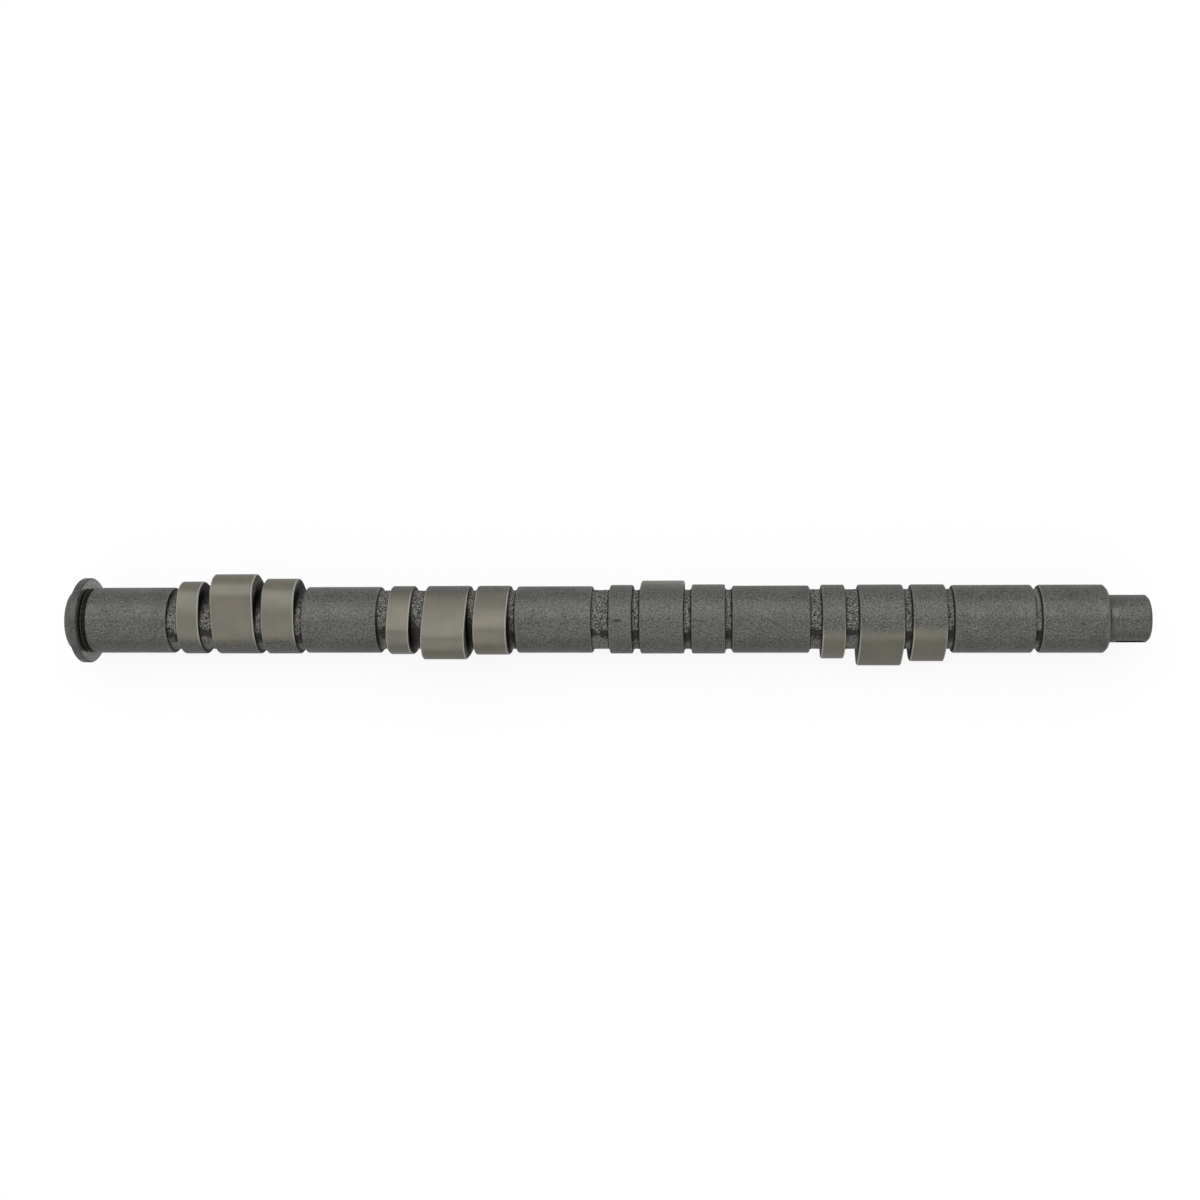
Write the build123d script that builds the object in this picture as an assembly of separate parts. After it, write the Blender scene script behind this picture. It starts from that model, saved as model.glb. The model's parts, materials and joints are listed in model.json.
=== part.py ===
"""Camshaft of a four-cylinder engine with two camshafts and two-stage valve lift.

One piece of chilled cast iron. From the drive end (-X) to the timing end (+X) it has an end boss, a
thrust flange, a rear journal, then for each cylinder a narrow, a main and a secondary lobe and a
bearing journal, and after the front journal a seal land and a keyed snout for the timing sprocket.

Frame: +X along the shaft towards the timing end, the origin on the shaft's axis at the middle of
the centre journal, +Z up with the shaft lying as it comes to rest: on the flange's rim and on the
main lobes of cylinders 1 and 2. Angles about the shaft are measured from +Y towards +Z.
"""

import math
import os
from collections import namedtuple

from build123d import *

# Engine
cylinders = 4
bore_pitch = 90.0
firing_order = (1, 3, 4, 2)
first_nose_angle = 225.0
thrust_face_to_last_bore = 66.0

# Bearing journals
journal_radius = 14.0
journal_length = 31.8
front_journal_length = 32.3
rear_journal_length = 35.2
journal_chamfer = 0.5

# Lobes
base_radius = 14.3
lobe_chamfer = 0.4
main_width = 18.2
main_lift = 7.5
main_nose_radius = 9.1
main_flank_radius = 60.0
narrow_width = 9.5
narrow_lift = 3.55
narrow_nose_radius = 9.3
narrow_flank_radius = 29.0
narrow_phase = -2.4
secondary_width = 13.9
secondary_lift = 4.25
secondary_nose_radius = 10.7
secondary_flank_radius = 36.0
secondary_phase = -6.4

# Grooves between the lobes of one cylinder; the narrow lobe of one cylinder stands closer
secondary_groove = 3.2
narrow_groove = 5.6
close_narrow_groove = 3.2
close_cylinder = 2

# Necks, left as cast between the ground parts
neck_radius = 12.35
neck_flare = 0.9

# Thrust flange and end boss
flange_radius = 18.2
flange_thickness = 3.65
flange_chamfer = 0.5
thrust_relief_width = 1.9
thrust_relief_depth = 0.5
boss_radius = 14.0
boss_length = 3.8
boss_chamfer = 1.5

# Seal land and its groove
seal_groove_width = 2.6
seal_land_radius = 14.0
seal_land_length = 27.1
seal_land_chamfer = 1.2

# Snout for the timing sprocket
snout_radius = 9.75
snout_length = 17.0
snout_chamfer = 1.0

# Half-moon keyway in the snout
key_width = 4.0
key_cutter_radius = 6.5
key_depth = 3.5
key_from_shoulder = 9.7
key_before_first_nose = 47.0

# Threaded hole for the sprocket's bolt: bored to the thread's inner diameter
bolt_hole_radius = 4.35
bolt_hole_depth = 28.0
bolt_mouth_radius = 5.6

# Turning centre in the end boss
centre_mouth_radius = 4.25
centre_pilot_radius = 2.0
centre_pilot_depth = 8.5

drill_point_angle = 118.0
centre_angle = 60.0

Lobe = namedtuple("Lobe", "start width lift nose_radius flank_radius angle")
Span = namedtuple("Span", "start end")

last_bore_x = (1 - cylinders) / 2 * bore_pitch
thrust_face_x = last_bore_x - thrust_face_to_last_bore
boss_end_x = thrust_face_x - flange_thickness - boss_length
rear_journal_x = thrust_face_x + thrust_relief_width
front_journal_x = cylinders / 2 * bore_pitch - journal_length / 2
seal_land_x = front_journal_x + front_journal_length + seal_groove_width
shoulder_x = seal_land_x + seal_land_length
snout_end_x = shoulder_x + snout_length


def direction(angle):
    """Unit vector at an angle in radians."""
    return Vector(math.cos(angle), math.sin(angle))


def turned(start, end, radius, start_chamfer=0.0, end_chamfer=0.0):
    """Round stretch of the shaft, with a 45 degree chamfer at either edge."""
    outline = [(start, 0), (start, radius - start_chamfer)]
    if start_chamfer:
        outline.append((start + start_chamfer, radius))
    if end_chamfer:
        outline.append((end - end_chamfer, radius))
    outline += [(end, radius - end_chamfer), (end, 0)]
    return revolve(make_face(Polyline(outline, close=True)), Axis.X)


def neck(start, end):
    """Cast stretch between two walls, flaring at 45 degrees into each of them."""
    flare = min(neck_flare, (end - start) / 2.5)
    outline = [
        (start, 0),
        (start, neck_radius + flare),
        (start + flare, neck_radius),
        (end - flare, neck_radius),
        (end, neck_radius + flare),
        (end, 0),
    ]
    return revolve(make_face(Polyline(outline, close=True)), Axis.X)


def lobe_outline(lift, nose_radius, flank_radius):
    """Cam outline with its nose along +X: base circle, nose and two convex flanks, all tangent."""
    nose_distance = base_radius + lift - nose_radius
    to_base = flank_radius - base_radius
    to_nose = flank_radius - nose_radius
    # Law of cosines at the shaft's axis, in its triangle with the centres of nose and flank
    cosine = (to_base**2 + nose_distance**2 - to_nose**2) / (2 * to_base * nose_distance)
    base_angle = math.pi - math.acos(cosine)
    flank_centre = -to_base * direction(base_angle)
    nose_centre = Vector(nose_distance, 0)
    to_tangent = nose_centre - flank_centre
    nose_angle = math.atan2(to_tangent.Y, to_tangent.X)

    nose_end = nose_centre + nose_radius * direction(nose_angle)
    flank_middle = flank_centre + flank_radius * direction((nose_angle + base_angle) / 2)
    base_start = base_radius * direction(base_angle)
    flank = ThreePointArc(nose_end, flank_middle, base_start)
    nose = ThreePointArc(Vector(nose_end.X, -nose_end.Y), (nose_distance + nose_radius, 0), nose_end)
    base = ThreePointArc(base_start, (-base_radius, 0), Vector(base_start.X, -base_start.Y))
    return make_face([nose, flank, base, mirror(flank, Plane.XZ)])


def cam_lobe(lobe):
    """Lobe across the shaft, with its nose at its angle and both edges chamfered."""
    outline = lobe_outline(lobe.lift, lobe.nose_radius, lobe.flank_radius)
    place = Plane.YZ.offset(lobe.start) * Rot(0, 0, lobe.angle)
    solid = extrude(place * outline, lobe.width)
    rims = solid.faces().sort_by(Axis.X)
    return chamfer(rims[0].edges() + rims[-1].edges(), lobe_chamfer)


def cylinder_lobes(cylinder):
    """The three lobes of one cylinder; cylinder 1 is at the timing end."""
    centre = ((cylinders + 1) / 2 - cylinder) * bore_pitch
    turn = 360 / cylinders * firing_order.index(cylinder)
    nose = first_nose_angle - turn
    groove = close_narrow_groove if cylinder == close_cylinder else narrow_groove
    main_start = centre - main_width / 2
    narrow_start = main_start - groove - narrow_width
    secondary_start = centre + main_width / 2 + secondary_groove
    return [
        Lobe(narrow_start, narrow_width, narrow_lift, narrow_nose_radius, narrow_flank_radius,
             nose + narrow_phase),
        Lobe(main_start, main_width, main_lift, main_nose_radius, main_flank_radius, nose),
        Lobe(secondary_start, secondary_width, secondary_lift, secondary_nose_radius,
             secondary_flank_radius, nose + secondary_phase),
    ]


def journals():
    """Where the journals lie: at the rear, midway between the bores and at the front."""
    spans = [Span(rear_journal_x, rear_journal_x + rear_journal_length)]
    for number in range(1, cylinders):
        middle = last_bore_x + (number - 0.5) * bore_pitch
        spans.append(Span(middle - journal_length / 2, middle + journal_length / 2))
    spans.append(Span(front_journal_x, front_journal_x + front_journal_length))
    return spans


def drilled_hole(radius, depth, mouth_radius):
    """Drill and countersink from the origin along -X, as the tools that cut the hole."""
    point = radius / math.tan(math.radians(drill_point_angle / 2))
    sink = (mouth_radius - radius) / math.tan(math.radians(centre_angle / 2))
    outline = [(0, 0), (0, mouth_radius), (-sink, radius), (-depth, radius), (-depth - point, 0)]
    return revolve(make_face(Polyline(outline, close=True)), Axis.X)


def keyed_snout():
    """Snout with its half-moon keyway, cut by a disc while it faces +Y, and turned to its angle."""
    snout = turned(shoulder_x, snout_end_x, snout_radius, 0.0, snout_chamfer)
    cutter_y = snout_radius - key_depth + key_cutter_radius
    snout -= Pos(shoulder_x + key_from_shoulder, cutter_y, 0) * Cylinder(key_cutter_radius, key_width)
    return Rot(first_nose_angle - key_before_first_nose, 0, 0) * snout


def camshaft():
    """The whole shaft as one solid."""
    lobes = []
    for cylinder in range(1, cylinders + 1):
        lobes += cylinder_lobes(cylinder)
    bearings = journals()

    solids = [
        turned(boss_end_x, thrust_face_x - flange_thickness, boss_radius, boss_chamfer),
        turned(thrust_face_x - flange_thickness, thrust_face_x, flange_radius,
               flange_chamfer, flange_chamfer),
        turned(thrust_face_x, rear_journal_x, journal_radius - thrust_relief_depth),
        turned(seal_land_x, shoulder_x, seal_land_radius, journal_chamfer, seal_land_chamfer),
        keyed_snout(),
    ]
    for journal in bearings:
        solids.append(
            turned(journal.start, journal.end, journal_radius, journal_chamfer, journal_chamfer)
        )
    for lobe in lobes:
        solids.append(cam_lobe(lobe))

    ground = bearings + [Span(lobe.start, lobe.start + lobe.width) for lobe in lobes]
    ground.append(Span(seal_land_x, shoulder_x))
    ground.sort()
    for left, right in zip(ground, ground[1:]):
        if right.start > left.end:
            solids.append(neck(left.end, right.start))

    shaft = solids[0].fuse(*solids[1:])
    shaft -= Pos(snout_end_x, 0, 0) * drilled_hole(bolt_hole_radius, bolt_hole_depth, bolt_mouth_radius)
    centre_drill = drilled_hole(centre_pilot_radius, centre_pilot_depth, centre_mouth_radius)
    shaft -= Pos(boss_end_x, 0, 0) * Rot(0, 0, 180) * centre_drill
    return shaft


os.makedirs("parts", exist_ok=True)
export_step(camshaft(), "parts/camshaft.step")
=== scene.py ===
"""Looks of a cast camshaft: one closed skin over the whole shaft, its finishes, and the stage."""

import json
import math

import bmesh
import bpy
import numpy as np
from bpy.props import FloatProperty, FloatVectorProperty, IntProperty, PointerProperty
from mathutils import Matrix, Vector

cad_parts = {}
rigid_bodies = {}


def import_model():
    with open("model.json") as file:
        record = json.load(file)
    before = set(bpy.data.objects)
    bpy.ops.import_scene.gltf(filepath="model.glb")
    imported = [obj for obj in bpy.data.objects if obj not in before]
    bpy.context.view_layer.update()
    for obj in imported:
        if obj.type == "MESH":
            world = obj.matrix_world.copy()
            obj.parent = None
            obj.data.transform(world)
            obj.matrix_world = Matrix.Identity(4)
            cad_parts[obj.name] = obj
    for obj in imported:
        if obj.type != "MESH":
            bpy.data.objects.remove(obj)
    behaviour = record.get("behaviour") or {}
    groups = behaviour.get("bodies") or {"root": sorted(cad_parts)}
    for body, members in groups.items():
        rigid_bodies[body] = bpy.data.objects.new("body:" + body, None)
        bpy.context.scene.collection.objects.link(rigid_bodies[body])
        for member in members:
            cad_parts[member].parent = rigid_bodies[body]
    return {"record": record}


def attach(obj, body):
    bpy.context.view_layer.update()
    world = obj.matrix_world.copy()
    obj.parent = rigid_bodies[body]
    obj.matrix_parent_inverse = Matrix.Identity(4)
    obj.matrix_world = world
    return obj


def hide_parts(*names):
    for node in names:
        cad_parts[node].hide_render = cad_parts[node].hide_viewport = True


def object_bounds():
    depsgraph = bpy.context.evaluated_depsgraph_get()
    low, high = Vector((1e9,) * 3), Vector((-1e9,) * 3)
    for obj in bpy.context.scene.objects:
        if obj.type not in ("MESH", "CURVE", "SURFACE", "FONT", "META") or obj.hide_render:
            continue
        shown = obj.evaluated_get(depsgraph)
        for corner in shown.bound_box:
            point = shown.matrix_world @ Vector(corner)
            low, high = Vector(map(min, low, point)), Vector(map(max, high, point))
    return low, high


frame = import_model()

bl_info = {
    "name": "Cast Camshaft",
    "version": (1, 0, 0),
    "blender": (4, 5, 0),
    "location": "View3D > Sidebar > Camshaft",
    "description": "Builds the skin, the finishes and the stage of a cast camshaft",
    "category": "Mesh",
}

MM = 0.001
NODE = "camshaft"
CAD_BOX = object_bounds()
MOUNTS = {mount["name"]: mount for mount in frame["record"]["mounts"]}

FIRING_ORDER = (1, 3, 4, 2)
CYLINDERS = len(FIRING_ORDER)
CLOSE_CYLINDER = 2

CENTRE_HALF_ANGLE = math.radians(30)
DRILL_HALF_ANGLE = math.radians(59)
KEYWAY_RINGS = 19
THREAD_RINGS = 6
WELD_DISTANCE = 0.002 * MM
SHARP_ANGLE = math.radians(50)

# Real spacings are about 0.05 mm for the coat's crystals, 0.3 mm for grains of moulding sand and
# 0.1 mm for the lines of a grinding stone or a lathe. All are drawn coarser, so that they show.
CRYSTALS = 0.65 * MM
SPARKS = 0.5 * MM
SAND = 0.6 * MM
STONE_LINES = 0.7 * MM
TURNED_LINES = 0.5 * MM
# Ragged rim of a scuff or a smear, in the real size.
RAGGED_RIM = 0.8 * MM
# Patches where the coat came out a little darker, or the stone pressed a little harder.
COAT_PATCHES = 9 * MM
STONE_PATCHES = 7 * MM

STRETCH = "stretch_"
GRAIN_SEED = 7
# Masks that the finishes read. The third paints shade into walls, corners and recesses; the second lightens
# rubbed edges, on the lobes partly a painted highlight.
MASKS = ("ground", "edge", "oil", "smooth")


def linear(code):
    """Linear red, green and blue of an sRGB hex colour, as in #8A8A85."""
    parts = np.array([int(code[start:start + 2], 16) for start in (1, 3, 5)]) / 255
    return tuple(np.where(parts <= 0.04045, parts / 12.92, ((parts + 0.055) / 1.055) ** 2.4))


def length(name, description, millimetres):
    """Length property, written in millimetres and kept in metres."""
    return FloatProperty(
        name=name, description=description, default=millimetres * MM, unit="LENGTH", precision=5
    )


def angle(name, description, degrees):
    """Angle property, written in degrees and kept in radians."""
    return FloatProperty(
        name=name, description=description, default=math.radians(degrees), subtype="ANGLE"
    )


def several_angles(name, description, *degrees):
    """Property of several angles, written in degrees and kept in radians."""
    return FloatVectorProperty(
        name=name, description=description, unit="ROTATION", size=len(degrees),
        default=tuple(math.radians(turn) for turn in degrees),
    )


def amount(name, description, value):
    """Property without a unit, such as a share or a strength."""
    return FloatProperty(name=name, description=description, default=value)


def colour(name, description, code):
    """Colour property, written as an sRGB hex colour."""
    return FloatVectorProperty(
        name=name, description=description, default=linear(code), subtype="COLOR", size=3, min=0, max=1
    )


def mount_radius(name):
    """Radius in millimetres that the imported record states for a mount."""
    return MOUNTS[name]["dims"]["r_mm"]


def lobe_sizes(width, lift, nose_radius, flank_radius, phase):
    """Properties of one kind of lobe, given in millimetres and degrees."""
    return {
        "width": length("Width", "Width along the shaft", width),
        "lift": length("Lift", "Height of the nose over the base circle", lift),
        "nose_radius": length("Nose radius", "Radius of the nose", nose_radius),
        "flank_radius": length("Flank radius", "Radius of the convex flanks", flank_radius),
        "phase": angle("Phase", "Turn of the nose from the cylinder's angle", phase),
    }


class ShaftLayout(bpy.types.PropertyGroup):
    """Where the stretches of the shaft lie along its axis, and how finely the skin is divided."""

    bore_pitch: length("Bore pitch", "Distance between the middles of two cylinders", 90.0)
    thrust_to_bore: length("Thrust face to bore", "From the thrust face to the last cylinder", 66.0)
    narrow_groove: length("Narrow lobe's groove", "Gap between narrow and main lobe", 5.6)
    close_groove: length("Close groove", "The same gap at the one cylinder where it is closer", 3.2)
    secondary_groove: length("Secondary lobe's groove", "Gap between main and secondary lobe", 3.2)
    first_nose: angle("First nose", "Angle of cylinder 1's main nose, from +Y towards +Z", 225.0)
    columns: IntProperty(name="Columns", description="Points around the shaft", default=200, min=48)


class JournalSizes(bpy.types.PropertyGroup):
    """Bearing journals and seal land."""

    radius: length("Radius", "Radius of the bearing journals", mount_radius("journal_1"))
    length: length("Length", "Length of the three inner journals", 31.8)
    front_length: length("Front length", "Length of the journal at the timing end", 32.3)
    rear_length: length("Rear length", "Length of the journal at the drive end", 35.2)
    chamfer: length("Chamfer", "Chamfer at both edges of a journal", 0.5)
    seal_radius: length("Seal land radius", "Radius of the land under the seal", mount_radius("seal_land"))
    seal_groove: length("Seal groove", "Gap between front journal and seal land", 2.6)
    seal_length: length("Seal land length", "Length of the land under the oil seal", 27.1)
    seal_chamfer: length("Seal land chamfer", "Chamfer that leads the seal on", 1.2)


class LobeEdges(bpy.types.PropertyGroup):
    """Sizes that all lobes share."""

    base_radius: length("Base radius", "Radius of the base circle", 14.3)
    chamfer: length("Chamfer", "Ground chamfer at both edges of a lobe", 0.4)
    ground_reach: several_angles(
        "Ground reach", "How far from the nose the lobes of cylinders 1 to 4 were reground", 104, 56, 84, 98
    )
    fade: angle("Fade", "Angle over which the grinding fades into the dark finish", 34.0)


class MainLobe(bpy.types.PropertyGroup):
    """Wide lobe in the middle of each cylinder's three."""

    __annotations__ = lobe_sizes(width=18.2, lift=7.5, nose_radius=9.1, flank_radius=60.0, phase=0.0)


class NarrowLobe(bpy.types.PropertyGroup):
    """Narrow lobe on the drive end's side of the main lobe."""

    __annotations__ = lobe_sizes(width=9.5, lift=3.55, nose_radius=9.3, flank_radius=29.0, phase=-2.4)


class SecondaryLobe(bpy.types.PropertyGroup):
    """Lobe on the timing end's side of the main lobe."""

    __annotations__ = lobe_sizes(width=13.9, lift=4.25, nose_radius=10.7, flank_radius=36.0, phase=-6.4)


class NeckSizes(bpy.types.PropertyGroup):
    """Stretches that stay as cast."""

    radius: length("Radius", "Mean radius of a neck", 12.35)
    fillet: length("Fillet", "Hollow fillet where a neck meets a wall", 1.0)
    step: length("Step", "Spacing of the skin's rings along a neck", 0.42)
    wide: length("Wide neck", "Length from which a neck counts as wide", 7.0)
    narrow: length("Narrow neck", "Length up to which a neck counts as narrow", 3.0)
    lump: length("Lump", "Mean distance between the lumps of the cast skin", 1.15)
    relief: length("Relief", "Usual height of the lumps", 0.06)
    smoothing: amount("Smoothing", "Share of that height that the mould's smoother half lacks", 0.7)
    seam: angle("Seam", "Where the mould's halves met, from +Y towards +Z", 119.0)
    seam_wander: angle("Seam wander", "How far the seam strays from neck to neck", 5.0)
    seam_ragged: angle("Ragged seam", "How far the seam strays from point to point", 2.5)
    # The dark stripe beside the seam is painted shade.
    seam_shade: angle("Seam shade", "How far the dark stripe beside the seam reaches on a wide neck", 18.7)
    seam_oil: amount("Seam oil", "How dark that stripe is with oil", 0.85)
    seam_height: length("Seam height", "Height of the seam", 0.08)
    seam_width: length("Seam width", "Width of the seam", 0.6)
    # Painted shade at a neck's walls: how far it reaches from either wall, and how much further where the
    # walls stand high.
    wall_oil: length("Oil at a wall", "How far oil reaches from the wall at the drive end's side", 0.35)
    corner_oil: length("Oil in a corner", "How far oil reaches from the other wall", 0.85)
    deep_oil: amount("Oil in a deep groove", "Its further reach per height of the walls", 1.4)


class FlangeSizes(bpy.types.PropertyGroup):
    """Thrust flange, the relief beside it and the end boss."""

    radius: length("Radius", "Radius of the flange", 18.2)
    thickness: length("Thickness", "Thickness between the thrust faces", 3.65)
    chamfer: length("Chamfer", "Chamfer at both rims", 0.5)
    relief_width: length("Relief width", "Width of the grinding relief at the thrust face", 1.9)
    relief_depth: length("Relief depth", "Depth of the relief under the journal", 0.5)
    relief_fillet: length("Relief fillet", "Fillet between the thrust face and the relief", 0.3)
    relief_crown: length("Relief crown", "Height of the relief's middle over its corners", 0.05)
    boss_radius: length("Boss radius", "Radius of the end boss", 14.0)
    boss_length: length("Boss length", "Length of the end boss", 3.8)
    boss_chamfer: length("Boss chamfer", "Chamfer at the boss's end", 1.5)
    centre_radius: length("Centre radius", "Mouth of the turning centre", mount_radius("drive_end_centre"))
    pilot_radius: length("Pilot radius", "Pilot drilling of the turning centre", 2.0)
    pilot_depth: length("Pilot depth", "Depth of the pilot drilling", 8.5)


class SnoutSizes(bpy.types.PropertyGroup):
    """Snout for the timing sprocket, with its keyway and threaded hole."""

    radius: length("Radius", "Radius of the sprocket's seat", mount_radius("sprocket_seat"))
    length: length("Length", "Length of the snout", 17.0)
    chamfer: length("Chamfer", "Chamfer at the snout's end", 1.0)
    root: length("Root fillet", "Hollow fillet at the shoulder", 0.3)
    key_width: length("Key width", "Width of the half-moon keyway", 4.0)
    key_cutter: length("Key cutter", "Radius of the cutter that made the keyway", 6.5)
    key_depth: length("Key depth", "Depth of the keyway", 3.5)
    key_place: length("Key place", "From the shoulder to the middle of the keyway", 9.7)
    key_lead: angle("Key lead", "How far the keyway lies before cylinder 1's nose", 47.0)
    hole_radius: length("Hole radius", "Inner radius of the thread", mount_radius("sprocket_bolt"))
    hole_depth: length("Hole depth", "Depth of the drilling", 28.0)
    mouth_radius: length("Mouth radius", "Countersink at the mouth", 5.6)
    thread_pitch: length("Thread pitch", "Pitch of the bolt's thread", 1.25)
    thread_height: length("Thread height", "Height of the cut thread", 0.66)
    thread_length: length("Thread length", "Length of the cut thread", 10.0)


class Finishes(bpy.types.PropertyGroup):
    """Colours of the finishes, as the bare surface shows them in plain light."""

    phosphate: colour("Phosphate", "Manganese phosphate on the journals", "#60605C")
    phosphate_dark: colour("Dark phosphate", "The same, in the hollows of its grain", "#232320")
    ground: colour("Ground iron", "Reground face of a lobe", "#636259")
    ground_warm: colour("Warm ground iron", "The same, where the stone has burnished it", "#6C675A")
    # On the lobes' chamfers, where they are ground, this light colour is partly a painted highlight.
    edge: colour("Bare edge", "Edge that rubbing has laid bare", "#ADABA0")
    cast: colour("Cast skin", "Skin of the casting on the necks", "#20201E")
    cast_light: colour("Light cast skin", "Sand grains and bare peaks of that skin", "#807F79")
    thrust: colour("Thrust face", "Iron of the thrust faces, bare where it has run in", "#A2A29D")
    # Near-black colour of the painted shade in walls, corners and recesses, and of the real smear of oil on
    # a narrow lobe.
    oil: colour("Oiled wall", "Walls and corners, dark with oil", "#0C0C0B")
    floor: colour("Floor", "Paper that the shaft lies on", "#F2F2F2")
    floor_bounce: colour("Floor's bounce", "Shade in which that paper lights the shaft", "#A6A6A6")


class WearMarks(bpy.types.PropertyGroup):
    """Marks of use: rubbed edges, which on the lobes are partly a painted highlight, a scuff on the snout
    and a smear of oil on a narrow lobe; also the painted shade at the snout's shoulder.
    """

    rubbed_chamfer: amount("Rubbed chamfers", "Share of the coat rubbed off a journal's chamfers", 0.2)
    rubbed_lobe: amount("Rubbed lobes", "Share rubbed off a lobe's edges where it isn't ground", 0.12)
    rubbed_keyway: amount("Rubbed keyway", "Share rubbed off the keyway's edges", 0.4)
    # The snout's root at the shoulder is darkened with painted shade.
    shoulder_oil: amount("Shoulder oil", "How dark the snout's root is with oil", 0.4)
    scuff_along: length("Scuff along", "Place of the scuff along the shaft", 228.2)
    scuff_angle: angle("Scuff angle", "Angle of the scuff, from +Y towards +Z", 85.0)
    scuff_reach: length("Scuff reach", "Half the scuff's size along the shaft", 2.0)
    scuff_width: length("Scuff width", "Half its size round the shaft", 2.6)
    smear_along: length("Smear along", "Place of the smear along the shaft", 27.0)
    smear_angle: angle("Smear angle", "Angle of the smear, from +Y towards +Z", 101.5)
    smear_reach: length("Smear reach", "Half the smear's size along the shaft", 2.0)
    smear_width: length("Smear width", "Half its size round the shaft", 0.7)


class StageSizes(bpy.types.PropertyGroup):
    """Camera, lamps and paper."""

    camera_place: FloatVectorProperty(
        name="Camera place", description="Where the camera stands", unit="LENGTH",
        default=(71.99 * MM, -106.27 * MM, 645.73 * MM),
    )
    camera_turn: several_angles("Camera turn", "How the camera is turned", 11.548, 4.605, 0.666)
    lens: amount("Lens", "Focal length for a 36 mm sensor", 46.81)
    rise: amount("Shift", "Vertical shift, in widths", -0.0333)
    lamp_distance: length("Lamp distance", "From the shaft to each lamp", 1600)
    lamp_width: length("Lamp width", "Width of each lamp along the shaft", 2600)
    lamp_shift: length("Lamp shift", "Place of the lamps' middle along the shaft", -100)
    key: amount("Key", "Radiance of the lamp overhead", 1.5)
    key_span: several_angles("Key's span", "Directions that it covers, from +Y towards +Z", 35, 98)
    front: amount("Front", "Radiance of the lamp in front", 0.8)
    front_span: several_angles("Front's span", "Directions that it covers, from +Y towards +Z", 111, 172)
    back: amount("Back", "Radiance of the lamp behind", 0.3)
    back_span: several_angles("Back's span", "Directions that it covers, from +Y towards +Z", 6, 30)
    room: amount("Room", "Light that comes from all round", 0.3)
    paper_half: length("Paper", "Half the side of the paper", 3000)
    paper_seen: amount("Plain paper", "Share of plain white in the paper as the camera sees it", 0.89)
    paper_mirrored: amount("Mirrored paper", "The same as the shaft mirrors it", 0.32)


class CamshaftSettings(bpy.types.PropertyGroup):
    """Everything that a user may change."""

    layout: PointerProperty(type=ShaftLayout)
    journals: PointerProperty(type=JournalSizes)
    edges: PointerProperty(type=LobeEdges)
    main: PointerProperty(type=MainLobe)
    narrow: PointerProperty(type=NarrowLobe)
    secondary: PointerProperty(type=SecondaryLobe)
    necks: PointerProperty(type=NeckSizes)
    flange: PointerProperty(type=FlangeSizes)
    snout: PointerProperty(type=SnoutSizes)
    finishes: PointerProperty(type=Finishes)
    marks: PointerProperty(type=WearMarks)
    stage: PointerProperty(type=StageSizes)


def columns_of(settings):
    """Angles of the skin's columns, from +Y towards +Z, evenly spaced round the shaft."""
    return np.arange(settings.layout.columns) * (2 * math.pi / settings.layout.columns)


def turn_from(angles, middle):
    """Angles as counted from a middle one, between -pi and pi."""
    return np.angle(np.exp(1j * (angles - middle)))


def smoothstep(low, high, value):
    """Rises from 0 at low to 1 at high along 3s^2 - 2s^3."""
    share = np.clip((value - low) / (high - low), 0, 1)
    return share * share * (3 - 2 * share)


def softened(corners, reach, steps=2):
    """Profile whose inner corners are rounded.

    Each corner becomes a quadratic Bezier curve that leaves its two sides at a distance of reach,
    or at 0.45 of the shorter side where that is less.
    """
    corners = np.asarray(corners, float)
    sides = np.diff(corners, axis=0)
    lengths = np.linalg.norm(sides, axis=1)
    units = sides / lengths[:, None]
    cut = np.minimum(reach, 0.45 * np.minimum(lengths[:-1], lengths[1:]))[:, None, None]
    share = np.linspace(0, 1, steps)[None, :, None]
    middle = corners[1:-1, None]
    before = middle - cut * units[:-1, None]
    after = middle + cut * units[1:, None]
    curve = (1 - share) ** 2 * before + 2 * share * (1 - share) * middle + share**2 * after
    return np.vstack([corners[:1], curve.reshape(-1, 2), corners[-1:]])


def ring_points(along, radius, angles):
    """Points (x, r cos a, r sin a) of a grid whose rings lie at x and whose columns lie at a."""
    along = np.broadcast_to(along, radius.shape)
    return np.stack([along, radius * np.cos(angles), radius * np.sin(angles)], axis=-1)


def cast_lumps(points, lump, seed):
    """Noise of about unit height, with no direction of its own and no seam.

    It is a sum of cosine waves through space. Their directions are spread evenly over the sphere
    and their lengths over an octave about the lump distance.
    """
    draw = np.random.default_rng(seed)
    waves = 72
    directions = draw.normal(size=(waves, 3))
    directions /= np.linalg.norm(directions, axis=1)[:, None]
    lengths = lump * 2 ** draw.uniform(-0.6, 0.4, waves)
    shifts = draw.uniform(0, 2 * math.pi, waves)
    phases = points.reshape(-1, 3) @ (directions * (2 * math.pi / lengths[:, None])).T + shifts
    return (np.cos(phases).sum(axis=1) * math.sqrt(2 / waves)).reshape(points.shape[:-1])


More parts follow.
